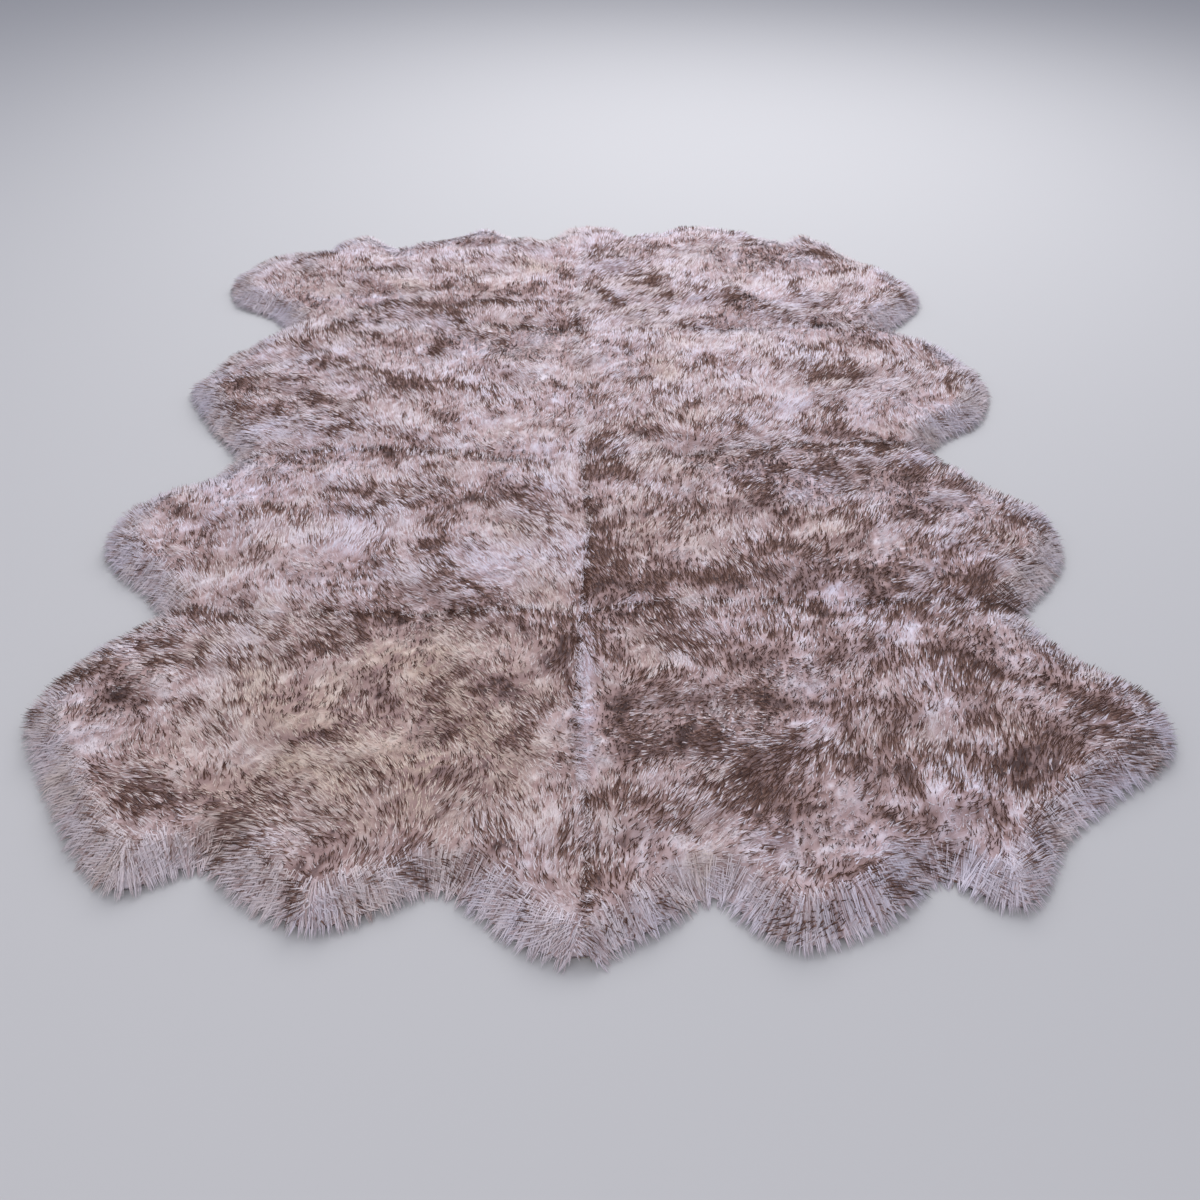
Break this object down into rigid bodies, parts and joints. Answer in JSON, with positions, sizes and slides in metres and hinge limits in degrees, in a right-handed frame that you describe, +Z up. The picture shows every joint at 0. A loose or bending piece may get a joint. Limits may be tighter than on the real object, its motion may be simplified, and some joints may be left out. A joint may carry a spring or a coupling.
{
  "type": "sheepskin rug",
  "caption": "Flat sheepskin rug of long-wool skins sewn side by side, with rounded ends, deep side notches and a scalloped front and back edge.",
  "frame": {"origin": "on the floor, under the middle of the rug's box", "axes": "+Z up out of the wool, +Y along the rug to its back row of skins, +X to the right seen from the front"},
  "size_m": [1.863, 2.4291, 0.056],
  "materials": {
    "wool_back_left": "matt white and cream sheep's wool with dark brown tips, bare suede underneath",
    "wool_back_right": "matt white and cream sheep's wool with dark brown tips, bare suede underneath",
    "wool_midback_left": "matt white and cream sheep's wool with dark brown tips, bare suede underneath",
    "wool_midback_right": "matt white and cream sheep's wool with dark brown tips, bare suede underneath",
    "wool_midfront_left": "matt white and cream sheep's wool with dark brown tips, bare suede underneath",
    "wool_midfront_right": "matt white and cream sheep's wool with dark brown tips, bare suede underneath",
    "wool_front_left": "matt white and cream sheep's wool with dark brown tips, bare suede underneath",
    "wool_front_right": "matt white and cream sheep's wool with dark brown tips, bare suede underneath"
  },
  "bodies": {
    "root": {"skin_back_left": "wool_back_left", "skin_back_right": "wool_back_right", "skin_midback_left": "wool_midback_left", "skin_midback_right": "wool_midback_right", "skin_midfront_left": "wool_midfront_left", "skin_midfront_right": "wool_midfront_right", "skin_front_left": "wool_front_left", "skin_front_right": "wool_front_right"}
  },
  "joints": []
}
